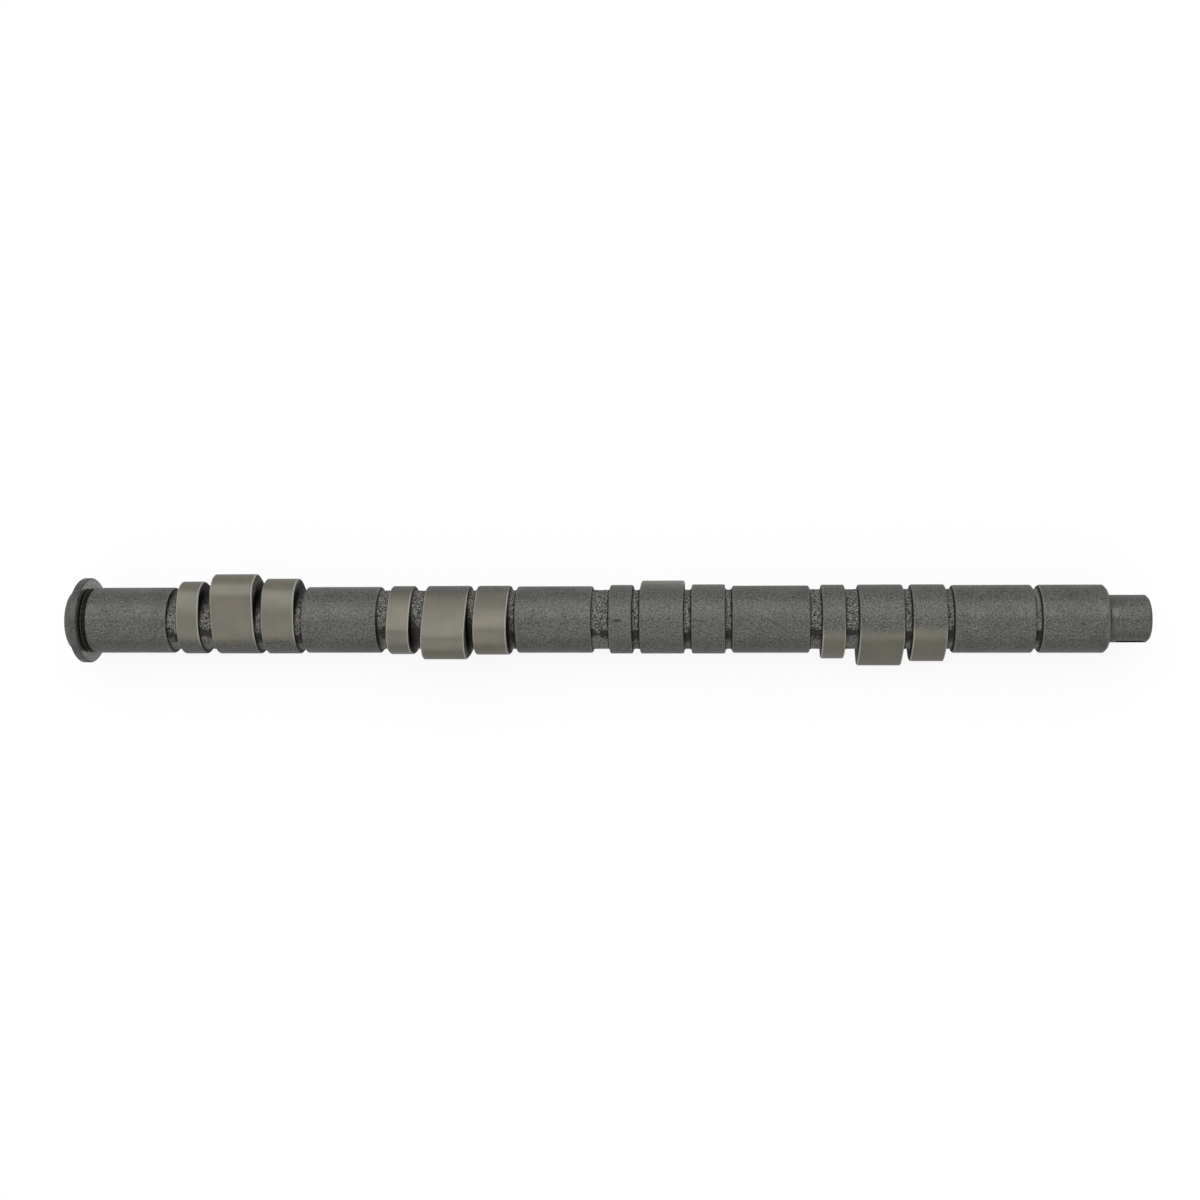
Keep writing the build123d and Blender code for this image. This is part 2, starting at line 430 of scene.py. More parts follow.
def lobe_outline(angles, edges, lobe, nose, inset):
    """Radius of a cam's outline at each angle, inset by a distance.

    Seen from the axis, the outline is three arcs: the nose, a circle centred on the line to the
    nose; two flanks, each a circle that touches nose and base circle from outside; and the base
    circle. A ray meets a circle of radius r, centred at c, at c.u + sqrt(r^2 - |c|^2 + (c.u)^2).
    """
    base, tip, flank = edges.base_radius, lobe.nose_radius, lobe.flank_radius
    nose_distance = base + lobe.lift - tip
    to_base, to_nose = flank - base, flank - tip
    cosine = (to_base**2 + nose_distance**2 - to_nose**2) / (2 * to_base * nose_distance)
    base_angle = math.pi - math.acos(cosine)
    flank_centre = -to_base * np.array([math.cos(base_angle), math.sin(base_angle)])
    normal = np.array([nose_distance, 0]) - flank_centre
    normal /= np.linalg.norm(normal)
    tangent = np.array([nose_distance, 0]) + tip * normal
    nose_angle = math.atan2(tangent[1], tangent[0])

    turn = np.abs(turn_from(angles, nose))
    on_nose = nose_distance * np.cos(turn)
    on_flank = flank_centre[0] * np.cos(turn) + flank_centre[1] * np.sin(turn)
    nose_part = on_nose + np.sqrt(
        np.maximum((tip - inset) ** 2 - nose_distance**2 + on_nose**2, 0)
    )
    flank_part = on_flank + np.sqrt((flank - inset) ** 2 - to_base**2 + on_flank**2)
    outline = np.where(turn < nose_angle, nose_part, flank_part)
    return np.where(turn > base_angle, base - inset, outline)


def cylinder_lobes(settings):
    """(start, lobe, nose angle, ground reach) of every lobe, from the drive end to the timing end."""
    layout = settings.layout
    placed = []
    for cylinder in range(CYLINDERS, 0, -1):
        centre = ((CYLINDERS + 1) / 2 - cylinder) * layout.bore_pitch
        nose = layout.first_nose - 2 * math.pi / CYLINDERS * FIRING_ORDER.index(cylinder)
        groove = layout.close_groove if cylinder == CLOSE_CYLINDER else layout.narrow_groove
        main_start = centre - settings.main.width / 2
        narrow_start = main_start - groove - settings.narrow.width
        secondary_start = centre + settings.main.width / 2 + layout.secondary_groove
        for start, lobe in (
            (narrow_start, settings.narrow),
            (main_start, settings.main),
            (secondary_start, settings.secondary),
        ):
            placed.append((start, lobe, nose + lobe.phase, settings.edges.ground_reach[cylinder - 1]))
    return placed


def thrust_face(settings):
    """Place of the inner thrust face on the axis."""
    layout = settings.layout
    return (1 - CYLINDERS) / 2 * layout.bore_pitch - layout.thrust_to_bore


def journal_spans(settings):
    """(start, end) of every journal, from the drive end to the timing end."""
    layout, sizes = settings.layout, settings.journals
    rear = thrust_face(settings) + settings.flange.relief_width
    spans = [(rear, rear + sizes.rear_length)]
    for number in range(1, CYLINDERS):
        middle = (number - CYLINDERS / 2) * layout.bore_pitch
        spans.append((middle - sizes.length / 2, middle + sizes.length / 2))
    front = CYLINDERS / 2 * layout.bore_pitch - sizes.length / 2
    spans.append((front, front + sizes.front_length))
    return spans


def seal_span(settings):
    """(start, end) of the seal land."""
    start = journal_spans(settings)[-1][1] + settings.journals.seal_groove
    return start, start + settings.journals.seal_length


def neck_foot(settings):
    """Radius at which a neck's fillet ends on a wall."""
    return settings.necks.radius + settings.necks.fillet


def add_node(tree, kind, inputs, output=0, **settings):
    """Adds a node with its settings and gives one of its outputs.

    An input is a plain value or the output that feeds it. A colour gets full alpha.
    """
    node = tree.nodes.new("ShaderNode" + kind)
    for name, value in settings.items():
        setattr(node, name, value)
    for name, value in inputs.items():
        socket = node.inputs[name]
        if isinstance(value, bpy.types.NodeSocket):
            tree.links.new(value, socket)
        elif socket.type == "RGBA":
            socket.default_value = (*value, 1.0)
        else:
            socket.default_value = value
    return node.outputs[output] if len(node.outputs) else None


def grain(tree, spacing, stretch=(1, 1, 1), detail=2.0, roughness=0.5):
    """Noise that is fixed to the shaft, with its grains a real spacing apart."""
    place = add_node(tree, "TexCoord", {}, "Object")
    scaled = add_node(tree, "Mapping", {"Vector": place, "Scale": stretch})
    return add_node(
        tree, "TexNoise",
        {"Vector": scaled, "Scale": 1 / spacing, "Detail": detail, "Roughness": roughness},
    )


def radius_here(tree):
    """Distance from the shaft's axis."""
    place = add_node(tree, "TexCoord", {}, "Object")
    across = add_node(tree, "VectorMath", {0: place, 1: (0, 1, 1)}, operation="MULTIPLY")
    return add_node(tree, "VectorMath", {0: across}, "Value", operation="LENGTH")


def wear_mark(tree, marks, kind, radius):
    """Mark on the shaft: 1 in its middle and 0 past its reach and width, with a ragged rim."""
    along, turn, reach, width = (
        getattr(marks, f"{kind}_{part}") for part in ("along", "angle", "reach", "width")
    )
    place = add_node(tree, "TexCoord", {}, "Object")
    middle = (along, radius * math.cos(turn), radius * math.sin(turn))
    offset = add_node(tree, "VectorMath", {0: place, 1: middle}, operation="SUBTRACT")
    shares = (1 / reach, 1 / width, 1 / width)
    scaled = add_node(tree, "VectorMath", {0: offset, 1: shares}, operation="MULTIPLY")
    away = add_node(tree, "VectorMath", {0: scaled}, "Value", operation="LENGTH")
    ragged = add_node(tree, "Math", {0: away, 1: grain(tree, RAGGED_RIM)}, operation="ADD")
    return add_node(
        tree, "MapRange", {"Value": ragged, "From Min": 1.5, "From Max": 0.9},
        interpolation_type="SMOOTHSTEP",
    )


def laid_over(tree, under, over, pattern, low, high, most=1.0):
    """Colour of one layer over another: the upper one begins to show where a pattern reaches low.

    Where the pattern reaches high, the upper one covers its full share, most, of the lower one.
    """
    cover = add_node(
        tree, "MapRange", {"Value": pattern, "From Min": low, "From Max": high, "To Max": most},
        interpolation_type="SMOOTHSTEP",
    )
    return add_node(tree, "Mix", {0: cover, 6: under, 7: over}, 2, data_type="RGBA")


def rubbed_and_oiled(tree, finishes, base):
    """Colour with its edges rubbed bare, on the lobes partly a painted highlight, and with painted shade on
    its walls and corners, as the skin's masks say.
    """
    rubbed = add_node(tree, "Attribute", {}, "Fac", attribute_name="edge")
    oily = add_node(tree, "Attribute", {}, "Fac", attribute_name="oil")
    bare = add_node(tree, "Mix", {0: rubbed, 6: base, 7: finishes.edge}, 2, data_type="RGBA")
    return add_node(tree, "Mix", {0: oily, 6: bare, 7: finishes.oil}, 2, data_type="RGBA")


def phosphated_iron(tree, settings):
    """Ground chilled cast iron with a manganese phosphate coat.

    The coat is a crust of fine crystals: dark, even grey, matt, with a fine sparkle of grain.
    """
    finishes = settings.finishes
    crystals = grain(tree, CRYSTALS, roughness=0.7)
    sparks = grain(tree, SPARKS, detail=1.0)
    patches = grain(tree, COAT_PATCHES, detail=3.0)
    scuff = wear_mark(tree, settings.marks, "scuff", settings.snout.radius)
    base = laid_over(tree, finishes.phosphate_dark, finishes.phosphate, crystals, 0.32, 0.68)
    base = laid_over(tree, base, finishes.phosphate_dark, patches, 0.3, 0.75, 0.3)
    base = laid_over(tree, base, finishes.edge, sparks, 0.64, 0.8, 0.4)
    base = laid_over(tree, base, finishes.edge, scuff, 0, 1, 0.22)
    roughness = add_node(
        tree, "MapRange",
        {"Value": patches, "From Min": 0.3, "From Max": 0.7, "To Min": 0.36, "To Max": 0.42},
        interpolation_type="SMOOTHSTEP",
    )
    bump = add_node(tree, "Bump", {"Height": crystals, "Distance": 0.05 * MM, "Strength": 1.0})
    return add_node(
        tree, "BsdfPrincipled",
        {
            "Base Color": rubbed_and_oiled(tree, finishes, base),
            "Roughness": roughness,
            "IOR": 1.5,
            "Normal": bump,
        },
    )


def ground_lobe(tree, settings):
    """Lobe face of chilled iron, reground by a stone over nose and flanks.

    The stone leaves a warm satin metal with fine lines around the shaft. On the base circle, which
    it didn't touch, the dark phosphate stays. The two fade into each other.
    """
    finishes = settings.finishes
    crystals = grain(tree, CRYSTALS, roughness=0.7)
    patches = grain(tree, STONE_PATCHES)
    lines = grain(tree, STONE_LINES, stretch=(1, 0.03, 0.03), detail=3.0, roughness=0.6)
    # Where the grinding fades out, it takes only the tips of the crystals.
    reached = add_node(tree, "Attribute", {}, "Fac", attribute_name="ground")
    scattered = add_node(
        tree, "MapRange",
        {"Value": crystals, "From Min": 0.3, "From Max": 0.7, "To Min": -0.2, "To Max": 0.2},
        interpolation_type="SMOOTHSTEP",
    )
    reached = add_node(tree, "Math", {0: reached, 1: scattered}, operation="ADD", use_clamp=True)
    ground = add_node(
        tree, "MapRange", {"Value": reached, "From Min": 0.15, "From Max": 0.85},
        interpolation_type="SMOOTHSTEP",
    )

    smear = wear_mark(tree, settings.marks, "smear", settings.edges.base_radius)
    coat = laid_over(tree, finishes.phosphate_dark, finishes.phosphate, crystals, 0.32, 0.68)
    coat = add_node(tree, "Mix", {0: smear, 6: coat, 7: finishes.oil}, 2, data_type="RGBA")
    bright = laid_over(tree, finishes.ground, finishes.ground_warm, patches, 0.3, 0.7)
    bright = laid_over(tree, bright, finishes.phosphate, lines, 0.45, 0.8, 0.3)
    base = add_node(tree, "Mix", {0: ground, 6: coat, 7: bright}, 2, data_type="RGBA")
    metallic = add_node(
        tree, "MapRange", {"Value": ground, "To Min": 0.0, "To Max": 0.35},
        interpolation_type="SMOOTHSTEP",
    )
    roughness = add_node(
        tree, "MapRange", {"Value": ground, "To Min": 0.42, "To Max": 0.35},
        interpolation_type="SMOOTHSTEP",
    )
    bump = add_node(tree, "Bump", {"Height": crystals, "Distance": 0.03 * MM, "Strength": 0.7})
    bump = add_node(tree, "Bump", {"Height": lines, "Distance": 0.01 * MM, "Strength": 0.5, "Normal": bump})
    return add_node(
        tree, "BsdfPrincipled",
        {
            "Base Color": rubbed_and_oiled(tree, finishes, base),
            "Metallic": metallic,
            "Roughness": roughness,
            "Normal": bump,
        },
    )


def cast_skin(tree, settings):
    """Skin of the iron casting, as the mould left it, on necks and walls.

    Sand grains left it coarse: black in its pits, with lighter peaks, and too rough to mirror. Painted
    shade darkens its walls and corners, but not the part of a lobe's wall that stands out past its
    neighbours.
    """
    finishes = settings.finishes
    sand = grain(tree, SAND, detail=3.0, roughness=0.6)
    smooth = add_node(tree, "Attribute", {}, "Fac", attribute_name="smooth")
    rough_half = laid_over(tree, finishes.cast, finishes.cast_light, sand, 0.4, 0.64)
    smooth_half = laid_over(tree, finishes.phosphate_dark, finishes.cast_light, sand, 0.3, 0.7)
    base = add_node(tree, "Mix", {0: smooth, 6: rough_half, 7: smooth_half}, 2, data_type="RGBA")
    # Painted shade stops on the part of a lobe's wall that stands out past the base circles of its
    # neighbours.
    neighbour = settings.edges.base_radius + 1.5 * MM
    painted_shade_below_neighbours = add_node(
        tree, "MapRange",
        {
            "Value": radius_here(tree), "From Min": neighbour, "From Max": neighbour + 2.0 * MM,
            "To Min": 1.0, "To Max": 0.0,
        },
        interpolation_type="SMOOTHSTEP",
    )
    oily = add_node(tree, "Attribute", {}, "Fac", attribute_name="oil")
    oily = add_node(tree, "Math", {0: oily, 1: painted_shade_below_neighbours}, operation="MULTIPLY")
    base = add_node(tree, "Mix", {0: oily, 6: base, 7: finishes.oil}, 2, data_type="RGBA")
    return add_node(
        tree, "BsdfPrincipled",
        {
            "Base Color": base,
            "Roughness": 0.5,
            "Specular IOR Level": 0.15,
            "IOR": 1.5,
            "Normal": add_node(tree, "Bump", {"Height": sand, "Distance": 0.07 * MM, "Strength": 1.0}),
        },
    )


def ground_thrust_face(tree, settings):
    """Thrust face of the flange: phosphated, then ground fine and run in until bare iron shows.

    The iron mirrors what lies beside it: white paper, and the dark relief. Fine marks run round it.
    """
    finishes = settings.finishes
    crystals = grain(tree, CRYSTALS)
    rounds = add_node(
        tree, "TexNoise", {"Vector": radius_here(tree), "Scale": 1 / TURNED_LINES, "Detail": 1.0}
    )
    base = laid_over(tree, finishes.phosphate, finishes.thrust, crystals, 0.3, 0.5)
    base = laid_over(tree, base, finishes.phosphate_dark, rounds, 0.45, 0.7, 0.5)
    return add_node(
        tree, "BsdfPrincipled",
        {
            "Base Color": base,
            "Metallic": 1.0,
            "Roughness": 0.08,
            "Normal": add_node(tree, "Bump", {"Height": crystals, "Distance": 0.01 * MM, "Strength": 0.5}),
        },
    )


def white_paper(tree, settings):
    """Matt white paper under even light.

    What camera and gloss see of it is mostly plain white, so that it looks as even as in a studio.
    """
    finishes, sizes = settings.finishes, settings.stage
    seen = add_node(tree, "LightPath", {}, "Is Camera Ray")
    glossy = add_node(tree, "LightPath", {}, "Is Glossy Ray")
    through = add_node(tree, "LightPath", {}, "Is Transmission Ray")
    shade = add_node(
        tree, "Mix", {0: seen, 6: finishes.floor_bounce, 7: finishes.floor}, 2, data_type="RGBA"
    )
    sheet = add_node(tree, "BsdfDiffuse", {"Color": shade})
    plain = add_node(tree, "Emission", {"Color": (1, 1, 1), "Strength": 1.0})
    mirrored = add_node(tree, "Math", {0: glossy, 1: through}, operation="MAXIMUM")
    share = add_node(tree, "Math", {0: mirrored, 1: sizes.paper_mirrored}, operation="MULTIPLY")
    share = add_node(tree, "Math", {0: seen, 1: sizes.paper_seen, 2: share}, operation="MULTIPLY_ADD")
    return add_node(tree, "MixShader", {0: share, 1: sheet, 2: plain})


MAKERS = {
    maker.__name__: maker
    for maker in (phosphated_iron, ground_lobe, cast_skin, ground_thrust_face, white_paper)
}


def finish(name, settings):
    """Material by its name, made the first time that it is asked for."""
    material = bpy.data.materials.get(name)
    if material is None:
        material = bpy.data.materials.new(name)
        material.use_nodes = True
        tree = material.node_tree
        tree.nodes.clear()
        add_node(tree, "OutputMaterial", {"Surface": MAKERS[name](tree, settings)})
    return material


def skin(name, along, radius, angles, slots, coats, **masks):
    """Object whose mesh is a tube of rings, with values from 0 to 1 that its finishes read.

    Ring i, column j is at along[i, j] on the axis, at radius[i, j] from it and at angles[j] round
    it. The strip after ring i has the finish coats[slots[i]].
    """
    rings, columns = radius.shape
    corner = np.arange(rings * columns).reshape(rings, columns)
    after = np.roll(corner, -1, axis=1)
    faces = np.stack([corner[:-1], after[:-1], after[1:], corner[1:]], axis=-1).reshape(-1, 4)

    mesh = bpy.data.meshes.new(name)
    mesh.from_pydata(ring_points(along, radius, angles).reshape(-1, 3), [], faces)
    mesh.polygons.foreach_set("material_index", np.repeat(slots, columns).astype(np.int32))
    mesh.polygons.foreach_set("use_smooth", np.ones(len(faces), bool))
    for mask in MASKS:
        values = np.broadcast_to(masks.get(mask, 0.0), radius.shape).astype(np.float32)
        mesh.attributes.new(mask, "FLOAT", "POINT").data.foreach_set("value", values.ravel())
    for coat in coats:
        mesh.materials.append(coat)
    piece = bpy.data.objects.new(name, mesh)
    bpy.context.scene.collection.objects.link(piece)
    return piece


def turned(name, settings, corners, coat, reach=0.12 * MM, oily=(-1.0, 0.0), rubbed=(0.0, 0.0)):
    """Skin of revolution over a profile of (along, radius) corners, softened over reach.

    Painted shade lies on it up to the first of the two radii given for it, and thins out to none at
    the second. Between the two radii of rubbed, as on a chamfer, part of its coat is rubbed off. Its walls,
    from a neck's foot to where the painted shade ends, weren't ground and are as rough as the casting.
    """
    profile = softened(corners, reach)
    angles = columns_of(settings)
    radius = np.repeat(profile[:, 1:], len(angles), axis=1)
    oil = smoothstep(oily[1], oily[0], profile[:, 1:])
    on_chamfer = (profile[:, 1:] > rubbed[0]) & (profile[:, 1:] < rubbed[1])
    lower, upper = np.sort([profile[:-1, 1], profile[1:, 1]], axis=0)
    walls = (lower >= neck_foot(settings)) & (upper <= oily[1])
    return skin(
        name, profile[:, :1], radius, angles, walls.astype(int),
        [finish(coat, settings), finish("cast_skin", settings)],
        oil=oil, edge=settings.marks.rubbed_chamfer * on_chamfer,
    )


class CAMSHAFT_OT_flange(bpy.types.Operator):
    """Makes the end boss with its turning centre, the thrust flange and the relief beside it"""

    bl_idname = "camshaft.flange"
    bl_label = "Thrust Flange"

    def execute(self, context):
        settings = context.scene.camshaft
        sizes = settings.flange
        face = thrust_face(settings)
        outer = face - sizes.thickness
        end = outer - sizes.boss_length
        rim = sizes.radius - sizes.chamfer
        pilot_end = end + sizes.pilot_depth
        point = sizes.pilot_radius / math.tan(DRILL_HALF_ANGLE)
        cone = (sizes.centre_radius - sizes.pilot_radius) / math.tan(CENTRE_HALF_ANGLE)
        relief = settings.journals.radius - sizes.relief_depth
        turned(
            STRETCH + "boss", settings,
            [
                (pilot_end + point, 0.0),
                (pilot_end, sizes.pilot_radius),
                (end + cone, sizes.pilot_radius),
                (end, sizes.centre_radius),
                (end, sizes.boss_radius - sizes.boss_chamfer),
                (end + sizes.boss_chamfer, sizes.boss_radius),
                (outer, sizes.boss_radius),
            ],
            "phosphated_iron", reach=0.15 * MM,
        )
        turned(
            STRETCH + "outer_face", settings, [(outer, sizes.boss_radius), (outer, rim)],
            "ground_thrust_face",
        )
        # Painted shade darkens the rim a little, least on its chamfers.
        turned(
            STRETCH + "rim", settings,
            [
                (outer, rim),
                (outer + sizes.chamfer, sizes.radius),
                (face - sizes.chamfer, sizes.radius),
                (face, rim),
            ],
            "phosphated_iron", oily=(sizes.radius + 1.4 * MM, sizes.radius - 0.7 * MM),
        )
        turned(
            STRETCH + "inner_face", settings, [(face, rim), (face, relief + sizes.relief_fillet)],
            "ground_thrust_face",
        )
        # No stone reaches the relief, so it is as dull as the casting, and painted shade darkens it almost
        # to black, also in its reflection on the thrust face.
        turned(
            STRETCH + "relief", settings,
            [
                (face, relief + sizes.relief_fillet),
                (face + sizes.relief_fillet, relief),
                (face + 0.6 * sizes.relief_width, relief + sizes.relief_crown),
                (face + sizes.relief_width, relief),
            ],
            "cast_skin", reach=0.1 * MM, oily=(relief, relief + 5 * sizes.relief_crown),
        )
        return {"FINISHED"}


class CAMSHAFT_OT_journals(bpy.types.Operator):
    """Makes the five bearing journals and the seal land"""

    bl_idname = "camshaft.journals"
    bl_label = "Journals and Seal Land"

    def execute(self, context):
        settings = context.scene.camshaft
        sizes = settings.journals
        foot = neck_foot(settings)
        below_chamfer = sizes.radius - sizes.chamfer
        # Radii between which a chamfer is rubbed, short of the wall and of the journal's face.
        rubbed = (sizes.radius - 0.9 * sizes.chamfer, sizes.radius - 0.02 * MM)
        for number, (start, end) in enumerate(journal_spans(settings)):
            corners = [
                (start, foot),
                (start, below_chamfer),
                (start + sizes.chamfer, sizes.radius),
                (end - sizes.chamfer, sizes.radius),
                (end, below_chamfer),
                (end, foot),
            ]
            # The rear journal begins at the relief, which has no wall.
            if number == 0:
                corners = corners[1:]
            # Painted shade darkens each wall, up to the foot of its chamfer.
            turned(
                f"{STRETCH}journal_{CYLINDERS + 1 - number}", settings, corners, "phosphated_iron",
                oily=(below_chamfer, rubbed[0]), rubbed=rubbed,
            )
        start, end = seal_span(settings)
        rubbed = (sizes.seal_radius - 0.9 * sizes.chamfer, sizes.seal_radius - 0.02 * MM)
        # Painted shade darkens the wall at the seal groove, fading out upwards, and the shoulder face
        # towards the snout.
        turned(
            STRETCH + "seal_land", settings,
            [
                (start, foot),
                (start, sizes.seal_radius - sizes.chamfer),
                (start + sizes.chamfer, sizes.seal_radius),
                (end - sizes.seal_chamfer, sizes.seal_radius),
                (end, sizes.seal_radius - sizes.seal_chamfer),
                (end, settings.snout.radius + settings.snout.root),
            ],
            "phosphated_iron", reach=0.2 * MM, oily=(foot, rubbed[0]), rubbed=rubbed,
        )
        return {"FINISHED"}


class CAMSHAFT_OT_lobes(bpy.types.Operator):
    """Makes the twelve cam lobes, three to a cylinder, turned by the firing order"""

    bl_idname = "camshaft.lobes"
    bl_label = "Cam Lobes"

    def execute(self, context):
        settings = context.scene.camshaft
        for number, (start, lobe, nose, reach) in enumerate(cylinder_lobes(settings)):
            self.make(settings, f"{STRETCH}lobe_{number}", start, lobe, nose, reach)
        return {"FINISHED"}

    def make(self, settings, name, start, lobe, nose, reach):
        """One lobe: rings that follow its outline, inset along a softened profile at both edges.

        Its face is ground as far as reach on either side of the nose.
        """
        edges = settings.edges
        angles = columns_of(settings)
        foot = neck_foot(settings)
        chamfer = edges.chamfer
        profile = softened(
            [
                (0.0, 3 * chamfer),
                (0.0, chamfer),
                (chamfer, 0.0),
                (lobe.width - chamfer, 0.0),
                (lobe.width, chamfer),
                (lobe.width, 3 * chamfer),
            ],
            reach=0.1 * MM, steps=3,
        )[1:-1]
        rows = [np.full_like(angles, foot)]
        rows += [lobe_outline(angles, edges, lobe, nose, inset) for inset in profile[:, 1]]
        rows.append(np.full_like(angles, foot))
        radius = np.array(rows)
        along = start + np.concatenate([[0.0], profile[:, 0], [lobe.width]])[:, None]

        # The first and the last strip are the walls, down to the necks.
        slots = np.zeros(len(radius) - 1, int)
        slots[[0, -1]] = 1
        half = edges.fade / 2
        ground = 1 - smoothstep(reach - half, reach + half, np.abs(turn_from(angles, nose)))
        # Each chamfer is rubbed from its foot, ring 3, to halfway round its upper corner, ring 5. Where the
        # lobe is ground, that light edge is partly a painted highlight.
        on_edge = np.zeros((len(radius), 1))
        on_edge[3:6] = on_edge[-6:-3] = 1.0
        on_edge[[3, -4]] = 0.6
        # Painted shade darkens both walls.
        oil = np.zeros((len(radius), 1))
        oil[[0, 1, -2, -1]] = 1.0
        dull = settings.marks.rubbed_lobe
        skin(
            name, along, radius, angles, slots,
            [finish("ground_lobe", settings), finish("cast_skin", settings)],
            ground=ground, edge=on_edge * (dull + (1 - dull) * ground), oil=oil,
        )


class CAMSHAFT_OT_necks(bpy.types.Operator):
    """Makes the necks between the ground parts, with the lumpy skin and the seam of the casting"""

    bl_idname = "camshaft.necks"
    bl_label = "Cast Necks"

    def execute(self, context):
        settings = context.scene.camshaft
        angles = columns_of(settings)
        # Every ground part as its start, its end and the radius of its outline at each column.
        level = np.full_like(angles, settings.journals.radius)
        walls = [(*span, level) for span in journal_spans(settings) + [seal_span(settings)]]
        walls += [
            (start, start + lobe.width, lobe_outline(angles, settings.edges, lobe, nose, 0.0))
            for start, lobe, nose, reach in cylinder_lobes(settings)
        ]
        walls.sort(key=lambda wall: wall[0])
        for number, (left, right) in enumerate(zip(walls, walls[1:])):
            as_cast = 0.0 if right[:2] == seal_span(settings) else 1.0
            height = (left[2] + right[2]) / 2 - level
            self.make(settings, number, left[1], right[0], as_cast, height)
        return {"FINISHED"}

    def make(self, settings, number, start, end, as_cast, height):
        """One neck: a cylinder with a quarter-round hollow at either wall, lumps and a seam.

        The hollow adds fillet * (1 - sqrt(1 - h^2)), where h falls from 1 at the wall to 0 at the
        hollow's end, and the seam is a ridge of height * exp(-(distance / width)^2). One half of the
        mould was rougher than the other. Past the seam lies a stripe of painted shade, which is twice as
        broad in a narrow neck. Where as_cast is 0, the neck was turned smooth afterwards. Painted shade
        lies in its corners, and reaches further where its walls stand up by height over the journals.
        """
        sizes = settings.necks
        angles = columns_of(settings)
        steps = max(6, round((end - start) / sizes.step))
        share = np.linspace(0, 1, steps + 1)
        # The rings stand a little closer together at both walls.
        along = start + (end - start) * (share - 0.03 * np.sin(2 * math.pi * share))
        from_wall = np.minimum(along - start, end - along)
        hollow = np.clip(1 - from_wall / sizes.fillet, 0, 1)
        flare = sizes.fillet * (1 - np.sqrt(1 - hollow**2))
        radius = np.repeat((sizes.radius + flare)[:, None], len(angles), axis=1)

        # Broader lumps of half the height lie under the fine ones.
        points = ring_points(along[:, None], radius, angles)
        lumps = cast_lumps(points, sizes.lump, GRAIN_SEED)
        lumps += 0.5 * cast_lumps(points, 2.7 * sizes.lump, GRAIN_SEED + 1)
        ragged = as_cast * sizes.seam_ragged * cast_lumps(points, 2.2 * sizes.lump, GRAIN_SEED + 2)

        draw = np.random.default_rng(GRAIN_SEED + number)
        seam = sizes.seam + sizes.seam_wander * draw.uniform(-1, 1)
        tilt = 2 * sizes.seam_wander * draw.uniform(-1, 1) * (share - 0.5)
        turn = turn_from(angles[None], seam + tilt[:, None] - ragged)
        past_seam = np.minimum(np.abs(turn), math.pi - np.abs(turn))
        smooth = smoothstep(-0.03, 0.03, np.sin(turn))
        # The stripe past the seam is painted shade, which reaches twice as far in a narrow neck.
        shade = sizes.seam_shade * (1 + smoothstep(sizes.wide, sizes.narrow, end - start))
        stripe = sizes.seam_oil * smooth * smoothstep(shade, 0.5 * shade, past_seam)
        smooth = np.maximum(smooth, 1 - as_cast)

        # Lumps and seam fade out towards the walls, which they leave straight.
        freedom = as_cast * smoothstep(0, 0.9 * sizes.fillet, from_wall)[:, None]
        ridge = sizes.seam_height * np.exp(-((past_seam * sizes.radius / sizes.seam_width) ** 2))
        radius = radius + freedom * (sizes.relief * (1 - sizes.smoothing * smooth) * lumps + ridge)

        # Painted shade in the corners: at the first wall it is thin, and at the other one it is full up to
        # 0.1 mm off it.
        reach = sizes.wall_oil + sizes.deep_oil * height
        near = smoothstep(reach, -0.3 * MM, (along - start)[:, None])
        far = smoothstep(sizes.corner_oil, 0.1 * MM, (end - along)[:, None])
        skin(
            f"{STRETCH}neck_{number}", along[:, None], radius, angles, np.zeros(steps, int),
            [finish("cast_skin", settings)],
            oil=np.maximum(np.maximum(near, far), stripe), smooth=smooth,
        )


